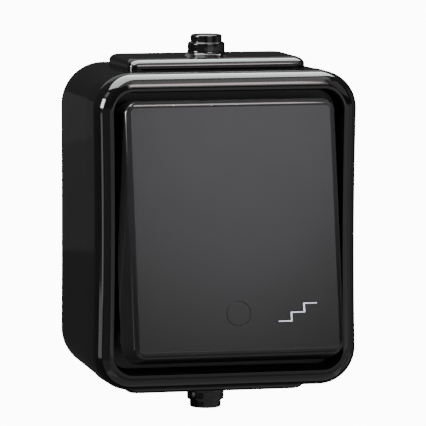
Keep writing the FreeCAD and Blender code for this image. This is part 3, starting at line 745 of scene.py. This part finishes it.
@dataclass
class CoverFrame:
    """The front cover: a bead round a sharp lip, and the recess behind the rocker."""

    housing: Housing
    draft: float = 0.4
    flange: float = 2.2
    lip_round: float = 0.22
    rim_round: float = 0.25
    floor_round: float = 0.5
    seat_round: float = 0.3
    bead_steps: int = 28
    corner_steps: int = 20
    window_steps: int = 8
    window_width: float = 35.4
    window_height: float = 18.6
    window_corner: float = 2.0
    screw_x: float = 23.5
    screw_z: float = 26.0
    screw_hole: float = 1.7

    def section(self) -> Pairs:
        """Draw the rim's section as inset and depth, from the rear of the recess floor round to its front.

        Returns:
            The section's points.
        """
        h = self.housing
        shoulder = h.lip_depth - h.bead_depth
        rear = [(self.inner, h.floor_rear, 0.0), (h.wall, h.floor_rear, self.seat_round),
                (h.wall, h.base_depth, self.rim_round), (0.0, h.base_depth, self.rim_round),
                (0.0, shoulder, 0.0)]
        bead = quarter_ellipse((0.0, shoulder), (h.bead_width, h.lip_depth), self.bead_steps)
        while h.bead_width - bead[-1][0] < 2 * self.lip_round:
            bead.pop()
        foot = (h.bead_width + self.draft, h.floor_front, self.floor_round)
        front = [(*bead[-1], 0.0), (h.bead_width, h.lip_depth, self.lip_round), foot,
                 (self.inner, h.floor_front, 0.0)]
        return rounded(rear) + bead[:-1] + rounded(front)

    @property
    def foot_rings(self) -> int:
        """Index, from the last, of the section's point at which the matt recess begins."""
        return -ARC_STEPS - 2

    @property
    def inner(self) -> float:
        """Inset at which the rim passes into the flat floor."""
        return self.housing.bead_width + self.flange

    def build(self) -> Object:
        """Sweep the rim and close the recess floor round its window and screw holes.

        Returns:
            The piece.
        """
        h = self.housing
        shell = Shell()
        around = outline(h.width, h.height, h.corner, h.waist, self.corner_steps)
        rings = [shell.ring([(s.x - s.out_x * inset, depth, s.z - s.out_z * inset) for s in around])
                 for inset, depth in self.section()]
        shell.loft(rings[:self.foot_rings])
        shell.finish = 1
        shell.loft(rings[self.foot_rings - 1:])
        holes = [outline(self.window_width, self.window_height, self.window_corner, 0.0, self.window_steps)]
        holes += [circle(self.screw_hole, side * self.screw_x, side * self.screw_z) for side in (1, -1)]
        fronts = [shell.ring([(s.x, h.floor_front, s.z) for s in hole]) for hole in holes]
        rears = [shell.ring([(s.x, h.floor_rear, s.z) for s in hole]) for hole in holes]
        for front, rear in zip(fronts, rears):
            shell.band(front, rear)
        shell.sheet(rings[-1], *fronts)
        shell.sheet(rings[0], *rears)
        return shell.piece("cover", Body.HOUSING, Slot.HOUSING, ("cover_frame",))


@dataclass
class CableEntry:
    """A slide-in cable entry plate with its closed, stepped nipple."""

    housing: Housing
    name: str
    stands_for: str
    side: int
    centre: float = 0.3
    width: float = 44.7
    rear: float = 8.0
    rise: float = 2.7
    edge: float = 1.6
    corner: float = 2.2
    front_drop: float = 1.95
    front_reach: float = 3.5
    front_undercut: float = 0.3
    brow_steps: int = 18
    corner_steps: int = 10
    neck_margin: float = 3.2
    neck_corner: float = 0.4
    flange_margin: float = 1.2
    flange_thickness: float = 2.0
    seat_gap: float = 0.05
    gasket: float = 1.6
    nipple_depth: float = 20.0
    nipple_wall: float = 1.0
    foot_radius: float = 6.45
    foot_rise: float = 1.26
    wide_radius: float = 4.6
    wide_rise: float = 3.3
    narrow_radius: float = 3.9
    top_rise: float = 5.2
    flare_steps: int = 12
    crown_round: float = 0.5
    step_round: float = 0.15
    crown_flat: float = 0.4

    def plate_ring(self, shell: Shell, z: float, side: float, rear: float, front: float,
                   corner: float) -> Ring:
        """Draw a rounded rectangle level with the plate.

        Args:
            shell: The shell that gets the ring.
            z: Its height.
            side: Its inset from the pad's two ends.
            rear: Its inset from the pad's rear.
            front: Its inset from the pad's front.
            corner: Its corner radius.

        Returns:
            The ring.
        """
        low, high = self.rear + rear, self.housing.base_depth - front
        middle = (low + high) / 2
        around = outline(self.width - 2 * side, high - low, corner, 0.0, self.corner_steps)
        return shell.ring([(self.centre + s.x, middle + s.z, z) for s in around])

    def pad(self, shell: Shell) -> list[Ring]:
        """Draw the pad: round ends and rear, and a long soft fall to the front.

        Args:
            shell: The shell that gets the rings.

        Returns:
            The rings, from the wall of the box up.
        """
        h = self.housing
        floor = h.base_height / 2
        top = floor + self.rise
        brow = top - self.front_drop
        rings = [self.plate_ring(shell, floor, 0.0, 0.0, self.front_undercut, self.corner)]
        rings.append(self.plate_ring(shell, floor + h.parting_step, 0.0, 0.0, self.front_undercut,
                                     self.corner))
        for i in range(self.brow_steps + 1):
            turn = math.pi / 2 * i / self.brow_steps
            z = brow + self.front_drop * math.sin(turn)
            over = max(0.0, z - (top - self.edge))
            end = self.edge - math.sqrt(max(0.0, self.edge**2 - over**2))
            front = self.front_reach * (1 - math.cos(turn))
            rings.append(self.plate_ring(shell, z, end, end, front, self.corner))
        return rings

    def foot(self, shell: Shell) -> list[Ring]:
        """Draw the neck in the wall's slot and the flange inside the box, from the flange's rear up.

        Args:
            shell: The shell that gets the rings.

        Returns:
            The rings.
        """
        outer = self.housing.base_height / 2
        inner = outer - self.housing.wall
        neck = self.neck_margin + self.seat_gap
        flange = neck - self.flange_margin
        front = self.gasket + self.seat_gap
        low = self.plate_ring(shell, inner - self.flange_thickness, flange, flange, self.seat_gap,
                              self.neck_corner)
        high = self.plate_ring(shell, inner - self.seat_gap, flange, flange, self.seat_gap, self.neck_corner)
        root = self.plate_ring(shell, inner - self.seat_gap, neck, neck, front, self.neck_corner)
        return [low, high, root, self.plate_ring(shell, outer, neck, neck, front, self.neck_corner)]

    def turned(self, shell: Shell, section: Pairs) -> list[Ring]:
        """Turn a section of radius and height about the nipple's axis."""
        return [shell.ring([(self.centre + s.x, self.nipple_depth + s.z, z) for s in circle(radius)])
                for radius, z in section]

    def nipple_section(self, seat: float) -> Pairs:
        """Draw the nipple's outside as radius and height.

        Args:
            seat: Height of the pad's top, on which it stands.

        Returns:
            The section's points, from its concave foot up.
        """
        step = seat + self.wide_rise
        top = seat + self.top_rise
        spread = self.foot_radius - self.wide_radius
        turns = [math.pi / 2 * i / self.flare_steps for i in range(self.flare_steps)]
        flare = [(self.foot_radius - spread * math.sin(t), seat + self.foot_rise * (1 - math.cos(t)))
                 for t in turns]
        wide, narrow = self.wide_radius, self.narrow_radius
        return flare + rounded([(wide, seat + self.foot_rise, 0.0), (wide, step, self.crown_round),
                                (narrow, step, self.step_round), (narrow, top, self.crown_round),
                                (self.crown_flat, top, 0.0)])

    def build(self) -> Object:
        """Join flange, neck, pad and nipple into one shell, hollow from below.

        Returns:
            The piece.
        """
        shell = Shell(lambda point: Vector((point.x, point.y, self.side * point.z)))
        outside = self.foot(shell) + self.pad(shell)
        h = self.housing
        seat = h.base_height / 2 + self.rise
        nipple = self.turned(shell, self.nipple_section(seat))
        low = h.base_height / 2 - h.wall - self.flange_thickness
        wide, narrow = self.wide_radius - self.nipple_wall, self.narrow_radius - self.nipple_wall
        step, roof = seat + self.wide_rise - self.nipple_wall, seat + self.top_rise - self.nipple_wall
        bore = self.turned(shell, [(wide, low), (wide, step), (narrow, step), (narrow, roof)])
        for rings in (nipple, bore):
            shell.loft(rings)
            shell.mesh.faces.new(rings[-1])
        foot, pad = outside[:4], outside[4:]
        shell.loft(foot)
        shell.loft(pad)
        shell.sheet(pad[0], foot[-1])
        shell.sheet(pad[-1], nipple[0])
        shell.sheet(foot[0], bore[0])
        return shell.piece(self.name, Body.HOUSING, Slot.ENTRY, (self.stands_for,))


@dataclass
class Rocker:
    """The rocker with its window plug and printed sign, drawn upright and laid at its resting tilt."""

    tilt: float = 10.1
    pivot_depth: float = 42.0
    face_depth: float = 51.5
    face_width: float = 50.0
    face_height: float = 60.0
    face_corner: float = 1.3
    ridge_corner: float = 3.0
    face_round_x: float = 0.6
    face_round_z: float = 2.4
    bevel_width: float = 1.2
    bevel_drop: float = 0.65
    ridge_round: float = 1.0
    flare_x: float = 1.8
    flare_z: float = 1.0
    skirt_depth: float = 7.6
    skirt_corner: float = 4.4
    rim_round: float = 0.25
    face_thickness: float = 2.0
    face_margin: float = 1.0
    under_round: float = 0.4
    wall: float = 1.5
    smallest_corner: float = 0.3
    corner_steps: int = 12
    window_radius: float = 3.0
    window_drop: float = 20.9
    window_round: float = 0.14
    window_margin: float = 0.5
    plug_gap: float = 0.05
    plug_flange: float = 0.8
    plug_middle: float = 0.4
    plug_round: float = 0.1
    hook_x: float = 8.0
    hook_z: float = 14.05
    hook_width: float = 5.0
    hook_thickness: float = 1.5
    hook_nose: float = 0.7
    hook_seat: float = 4.1
    hook_edge: float = 0.15
    hook_root: float = 0.3
    nose_root: float = 0.2
    nose_inset: float = 0.1
    sign_left: float = 9.9
    sign_low: float = -22.95
    sign_tread: float = 3.22
    sign_riser: float = 2.1
    sign_line: float = 0.29
    sign_post: float = 0.42
    sign_proud: float = 0.02
    sign_sunk: float = 0.1

    def lay(self, point: Vector) -> Vector:
        """Turn an upright point to the rocker's resting tilt."""
        pivot = Vector((0, -self.pivot_depth, 0))
        return pivot + Matrix.Rotation(math.radians(-self.tilt), 3, "X") @ (point - pivot)

    def section(self, flare: float, edge: float) -> Pairs:
        """Draw the rim's section as growth and distance behind the face.

        Args:
            flare: How far the skirt leans out below the ridge.
            edge: The radius of the face's edge.

        Returns:
            The section's points, from the face out and back to the underside.
        """
        ridge, foot = self.bevel_width, self.bevel_width + flare
        return rounded([(-self.face_margin, 0.0, 0.0), (0.0, 0.0, edge),
                        (ridge, self.bevel_drop, self.ridge_round),
                        (foot, self.skirt_depth, self.rim_round),
                        (foot - self.wall, self.skirt_depth, self.rim_round),
                        (ridge - self.wall, self.face_thickness, self.under_round),
                        (ridge - self.wall - self.face_margin, self.face_thickness, 0.0)])

    def corner_at(self, behind: float) -> float:
        """Corner radius of the outline at a distance behind the face.

        Args:
            behind: The distance.

        Returns:
            The radius, which grows from face to ridge to skirt.
        """
        if behind <= self.bevel_drop:
            return self.face_corner + (self.ridge_corner - self.face_corner) * behind / self.bevel_drop
        share = (behind - self.bevel_drop) / (self.skirt_depth - self.bevel_drop)
        return self.ridge_corner + (self.skirt_corner - self.ridge_corner) * share

    def rim_ring(self, shell: Shell, across: tuple[float, float], along: tuple[float, float]) -> Ring:
        """Draw one ring of the rim from its growth and distance behind the face in X and in Z.

        Args:
            shell: The shell that gets the ring.
            across: Growth and distance behind the face on the long sides.
            along: The same at the two ends.

        Returns:
            The ring.
        """
        corner = self.corner_at((across[1] + along[1]) / 2) + min(0.0, across[0])
        around = outline(self.face_width + 2 * across[0], self.face_height + 2 * along[0],
                         max(corner, self.smallest_corner), 0.0, self.corner_steps)
        rows = []
        for s in around:
            behind = across[1] * s.out_x**2 + along[1] * s.out_z**2
            rows.append((s.x, self.face_depth - behind, s.z))
        return shell.ring(rows)

    def window(self, shell: Shell) -> list[Ring]:
        """Draw the round window from the face down to the underside.

        Args:
            shell: The shell that gets the rings.

        Returns:
            The rings.
        """
        radius = self.window_radius
        rows = rounded([(radius + self.window_margin, 0.0, 0.0), (radius, 0.0, self.window_round),
                        (radius, self.face_thickness, 0.0)])
        return self.window_rings(shell, rows)

    def window_rings(self, shell: Shell, rows: Pairs) -> list[Ring]:
        """Turn a section of radius and distance behind the face about the window's axis."""
        return [shell.ring([(s.x, self.face_depth - behind, s.z)
                            for s in circle(radius, 0.0, -self.window_drop)])
                for radius, behind in rows]

    def build_cap(self) -> Object:
        """Build the rocker itself, hollow, with its four hooks.

        Returns:
            The piece.
        """
        shell = Shell(self.lay)
        sides = self.section(self.flare_x, self.face_round_x)
        ends = self.section(self.flare_z, self.face_round_z)
        rings = [self.rim_ring(shell, across, along) for across, along in zip(sides, ends)]
        shell.loft(rings[:2])
        shell.finish = 1
        shell.loft(rings[1:])
        shell.finish = 0
        window = self.window(shell)
        shell.loft(window)
        shell.sheet(rings[0], window[0])
        shell.sheet(rings[-1], window[-1])
        root, seat = self.face_depth - self.face_thickness + self.hook_root, self.face_depth - self.hook_seat
        tip = seat - self.hook_thickness
        for side in (1, -1):
            for x in (-self.hook_x, self.hook_x):
                near, far = sorted((side * self.hook_z, side * (self.hook_z + self.hook_thickness)))
                half = self.hook_width / 2
                shell.block((x - half, tip, near), (x + half, root, far), self.hook_edge)
                near, far = sorted((side * (self.hook_z - self.hook_nose),
                                    side * (self.hook_z + self.nose_root)))
                half -= self.nose_inset
                shell.block((x - half, tip + self.nose_inset, near), (x + half, seat, far), self.hook_edge)
        return shell.piece("rocker_cap", Body.ROCKER, Slot.ROCKER, ("rocker",))

    def build_plug(self) -> Object:
        """Build the window's blanking plug: a disc with a broken edge on a wider flange.

        Returns:
            The piece.
        """
        shell = Shell(self.lay)
        radius = self.window_radius - self.plug_gap
        wide, seat = self.window_radius + self.plug_flange, self.face_thickness
        foot = seat + self.plug_flange
        rows = rounded([(self.plug_middle, 0.0, 0.0), (radius, 0.0, self.window_round), (radius, seat, 0.0),
                        (wide, seat, self.plug_round), (wide, foot, self.plug_round),
                        (self.plug_middle, foot, 0.0)])
        rings = self.window_rings(shell, rows)
        shell.loft(rings)
        shell.mesh.faces.new(rings[0])
        shell.mesh.faces.new(rings[-1])
        return shell.piece("window_plug", Body.ROCKER, Slot.PLUG, ("lamp_window_plug",))

    def build_sign(self) -> Object:
        """Build the printed sign of a staircase circuit: a stepped line.

        Returns:
            The piece.
        """
        shell = Shell(self.lay)
        half, post = self.sign_line / 2, self.sign_post / 2
        upper, lower = [], []
        for step in range(3):
            left = self.sign_left + step * self.sign_tread
            z = self.sign_low + step * self.sign_riser
            start = left - post if step else left
            end = left + self.sign_tread
            upper += [(start, z + half), (end - post if step < 2 else end, z + half)]
            lower += [(left + post if step else left, z - half), (end + post if step < 2 else end, z - half)]
        path = upper + lower[::-1]
        foot, top = self.face_depth - self.sign_sunk, self.face_depth + self.sign_proud
        rings = [shell.ring([(x, depth, z) for x, z in path]) for depth in (foot, top)]
        shell.loft(rings)
        for ring in rings:
            shell.mesh.faces.new(ring)
        return shell.piece("staircase_sign", Body.ROCKER, None)


# The studio


def fall_only_on(light: Object, receivers: list[Object]) -> None:
    """Flag a light off from everything but its receivers.

    Args:
        light: The light's object.
        receivers: The pieces that it falls on.
    """
    lit = bpy.data.collections.new(light.name + "_receivers")
    for receiver in receivers:
        lit.objects.link(receiver)
    light.light_linking.receiver_collection = lit


@dataclass(frozen=True)
class Softbox:
    """A rectangular studio light that faces the switch or lies level above it."""

    name: str
    azimuth: float
    elevation: float
    distance: float
    width: float
    height: float
    radiance: float
    colour: Triple = (1.0, 1.0, 1.0)
    turn: float = 0.0
    level: bool = False
    housing_only: bool = False

    def place(self, aim: Vector) -> Object:
        """Make the light.

        Args:
            aim: The point from which its azimuth, to the left, and its elevation are counted.

        Returns:
            The light's object.
        """
        a, e = math.radians(self.azimuth), math.radians(self.elevation)
        out = Vector((-math.sin(a) * math.cos(e), -math.cos(a) * math.cos(e), math.sin(e)))
        facing = Matrix.Identity(4) if self.level else (-out).to_track_quat("-Z", "Y").to_matrix().to_4x4()
        lamp = bpy.data.lights.new(self.name, "AREA")
        lamp.shape = "RECTANGLE"
        lamp.size, lamp.size_y = self.width, self.height
        lamp.energy = 4 * self.radiance * self.width * self.height
        lamp.color = self.colour
        obj = put(self.name, lamp)
        roll = Matrix.Rotation(math.radians(self.turn), 4, "Z")
        obj.matrix_world = Matrix.Translation(aim + out * self.distance) @ facing @ roll
        obj.visible_camera = False
        return obj


@dataclass(frozen=True)
class Wash:
    """A soft round beam that lifts the upper part of the rocker's face."""

    source: Triple = (0.06, -0.28, 0.25)
    aim: Triple = (0.003, -0.047, 0.026)
    power: float = 20.3
    beam: float = 17.5
    radius: float = 0.012

    def place(self, receivers: list[Object]) -> Object:
        """Make the beam, flagged off from everything but its receivers and their mirror images.

        Args:
            receivers: The pieces that it falls on.

        Returns:
            The light's object.
        """
        lamp = bpy.data.lights.new("face_wash", "SPOT")
        lamp.energy, lamp.shadow_soft_size = self.power, self.radius
        lamp.spot_size, lamp.spot_blend = math.radians(self.beam), 1.0
        obj = put("face_wash", lamp)
        source, aim = Vector(self.source), Vector(self.aim)
        obj.matrix_world = (Matrix.Translation(source)
                            @ (aim - source).to_track_quat("-Z", "Y").to_matrix().to_4x4())
        obj.visible_camera = obj.visible_glossy = False
        fall_only_on(obj, receivers)
        return obj


@dataclass
class Studio:
    """White surroundings for the camera, dim ones for reflections, and the lights."""

    floor_z: float = -1.6
    floor_reach: float = 12.0
    white: float = 12.0
    dim: float = 0.032
    aim: Vector = field(default_factory=lambda: Vector((0.0, -0.03, 0.0)))
    wash: Wash = Wash()
    lights: tuple[Softbox, ...] = (
        Softbox("overhead_softbox", 172, 70.5, 1.06, 1.63, 0.75, 9.0, (0.97, 1.0, 1.0), 38.5, True),
        Softbox("front_right_softbox", -13, 50.5, 0.24, 0.085, 0.055, 9.0, (1.0, 0.88, 0.88)),
        Softbox("front_right_halo", -14, 49, 0.25, 0.12, 0.12, 1.8, (1.0, 0.9, 0.9), housing_only=True),
        Softbox("high_front_glow", -14, 75, 0.5, 0.5, 0.24, 0.8, (1.0, 0.97, 0.98), housing_only=True),
        Softbox("high_right_glow", -54, 69, 0.6, 0.3, 0.12, 0.7, (1.0, 0.95, 0.95), housing_only=True),
        Softbox("right_glow", -56, 34, 0.6, 0.4, 0.4, 0.5, (1.0, 0.92, 0.92)),
        Softbox("left_lamp", 84, 18.5, 0.6, 0.19, 0.2, 26.0),
        Softbox("left_strip", 84, -3.3, 0.35, 0.065, 0.06, 1.6),
        Softbox("left_strip_wide", 94, -12.9, 0.35, 0.14, 0.06, 1.3),
        Softbox("left_strip_high", 82, 38, 0.6, 0.16, 0.12, 1.8),
        Softbox("left_card_high", 166, 3.5, 0.3, 0.2, 0.05, 0.015),
        Softbox("left_card_middle", 166, 0.5, 0.31, 0.2, 0.085, 0.02),
        Softbox("left_fill", 50, -8, 1.5, 1.3, 0.7, 0.12),
        Softbox("left_low_fill", 55, -38, 1.5, 1.4, 1.0, 0.25),
        Softbox("front_fill_high", -14, 9, 2.0, 1.3, 0.8, 0.56),
        Softbox("front_fill", -18, -4.5, 1.9, 3.4, 0.36, 0.54),
        Softbox("front_fill_low", -18, -22.5, 1.5, 2.7, 0.72, 0.40),
        Softbox("front_fill_lower", -18, -43, 1.5, 2.7, 0.37, 0.2),
        Softbox("under_fill", -10, -78, 1.3, 2.6, 1.35, 0.36),
        Softbox("right_fill", -75, -8, 1.5, 0.75, 0.6, 0.36),
        Softbox("right_low_fill", -82, -36, 1.5, 1.1, 0.95, 0.28),
        Softbox("right_back_fill", -102, -4, 1.5, 0.65, 1.6, 0.12),
        Softbox("back_fill", 180, 34, 1.5, 1.0, 0.9, 0.4),
    )

    def build(self, housed: list[Object], washed: list[Object]) -> None:
        """Set up floor, surroundings and lights.

        Args:
            housed: The housing's pieces, on which some lights fall alone.
            washed: The pieces that the wash falls on.
        """
        self.lay_floor()
        self.surround()
        for light in self.lights:
            lamp = light.place(self.aim)
            if light.housing_only:
                fall_only_on(lamp, housed)
        self.wash.place(washed)

    def lay_floor(self) -> None:
        """Lay the plain pale floor well below the switch."""
        data = bpy.data.meshes.new("floor")
        r, z = self.floor_reach, self.floor_z
        data.from_pydata([(-r, -r, z), (r, -r, z), (r, r, z), (-r, r, z)], [], [(0, 1, 2, 3)])
        obj = put("floor", data)
        paper = Surface("pale_floor")
        paper.keep(Base_Color=(0.9, 0.9, 0.9, 1.0), Roughness=0.9, Emission_Color=(1.0, 1.0, 1.0, 1.0),
                   Emission_Strength=self.white)
        dress(obj, paper.material)
        obj.visible_glossy = False
        obj.visible_diffuse = False

    def surround(self) -> None:
        """Give the camera a white backdrop and the surfaces a dim room to reflect."""
        world = bpy.data.worlds.new("studio")
        bpy.context.scene.world = world
        world.use_nodes = True
        nodes, white = Nodes(world.node_tree), (1.0, 1.0, 1.0, 1.0)
        room = nodes.tree.nodes["Background"]
        nodes.fill(room.inputs["Color"], white)
        nodes.fill(room.inputs["Strength"], self.dim)
        backdrop = nodes.node("Background", Color=white, Strength=self.white)
        seen = nodes.node("LightPath").outputs["Is Camera Ray"]
        mix = nodes.node("MixShader")
        for socket, value in zip(mix.inputs, (seen, room.outputs[0], backdrop.outputs[0])):
            nodes.fill(socket, value)
        nodes.fill(nodes.tree.nodes["World Output"].inputs["Surface"], mix.outputs[0])


@dataclass
class ViewCamera:
    """The camera at the photograph's angle."""

    azimuth: float = -13.971
    elevation: float = 6.095
    roll: float = 0.142
    distance: float = 1.16979
    target: Triple = (0.918, -25.0, 2.486)
    focal_pixels: float = 4726.7
    image_pixels: float = 426.0
    sensor: float = 36.0
    clip: tuple[float, float] = (0.05, 60.0)

    def build(self) -> Object:
        """Make the camera and let the scene look through it.

        Returns:
            The camera's object.
        """
        lens = bpy.data.cameras.new("camera")
        lens.sensor_width = self.sensor
        lens.lens = self.focal_pixels / self.image_pixels * self.sensor
        lens.clip_start, lens.clip_end = self.clip
        obj = put("camera", lens)
        a, e, roll = (math.radians(angle) for angle in (self.azimuth, self.elevation, self.roll))
        back = Vector((math.sin(a) * math.cos(e), -math.cos(a) * math.cos(e), math.sin(e)))
        right = (-back).cross(Vector((0.0, 0.0, 1.0))).normalized()
        up = right.cross(-back)
        cos, sin = math.cos(roll), math.sin(roll)
        level = Matrix((cos * right + sin * up, cos * up - sin * right, back))
        place = Matrix.Translation(Vector(self.target) * MM + back * self.distance)
        obj.matrix_world = place @ level.transposed().to_4x4()
        bpy.context.scene.camera = obj
        return obj


def build_pieces(makers: list[tuple[Maker, tuple[Material, ...]]]) -> list[Object]:
    """Build pieces and dress them.

    Args:
        makers: What builds each piece, with its materials in the order of its faces' finishes.

    Returns:
        The pieces.
    """
    pieces = []
    for build, finishes in makers:
        piece = build()
        dress(piece, *finishes)
        LOG.info("%s built with %d faces", piece.name, len(piece.data.polygons))
        pieces.append(piece)
    return pieces


def dress_solids(materials: dict[Slot, Material]) -> None:
    """Give the solids that are shown as they are their materials and slots.

    Args:
        materials: The material of each slot.
    """
    for slot, names in SOLID_FINISHES.items():
        for name in names:
            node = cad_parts[name]
            dress(node, materials[slot])
            LOG.info("%s gets %s", name, materials[slot].name)


def main() -> None:
    """Build every piece, dress it and set up the studio."""
    logging.basicConfig(level=logging.INFO, format="%(message)s")
    effects = Effects()
    materials = {slot: finish.make(effects) for slot, finish in FINISHES.items()}
    housing, rocker = Housing(), Rocker()
    entries = [CableEntry(housing, "upper_entry_plate", "top_cable_entry", 1),
               CableEntry(housing, "lower_entry_plate", "bottom_cable_entry", -1)]
    gloss = materials[Slot.HOUSING]
    housed = build_pieces([(RearBox(housing).build, (gloss,)),
                           (CoverFrame(housing).build, (gloss, MATT_RECESS.make(effects)))])
    housed += build_pieces([(entry.build, (materials[Slot.ENTRY],)) for entry in entries])
    washed = build_pieces([(rocker.build_cap, (materials[Slot.ROCKER], POLISHED_RIM.make(effects))),
                           (rocker.build_plug, (materials[Slot.PLUG],)),
                           (rocker.build_sign, (PaleInk().make(effects),))])
    dress_solids(materials)
    Studio().build(housed, washed)
    ViewCamera().build()


if __name__ == "__main__":
    main()
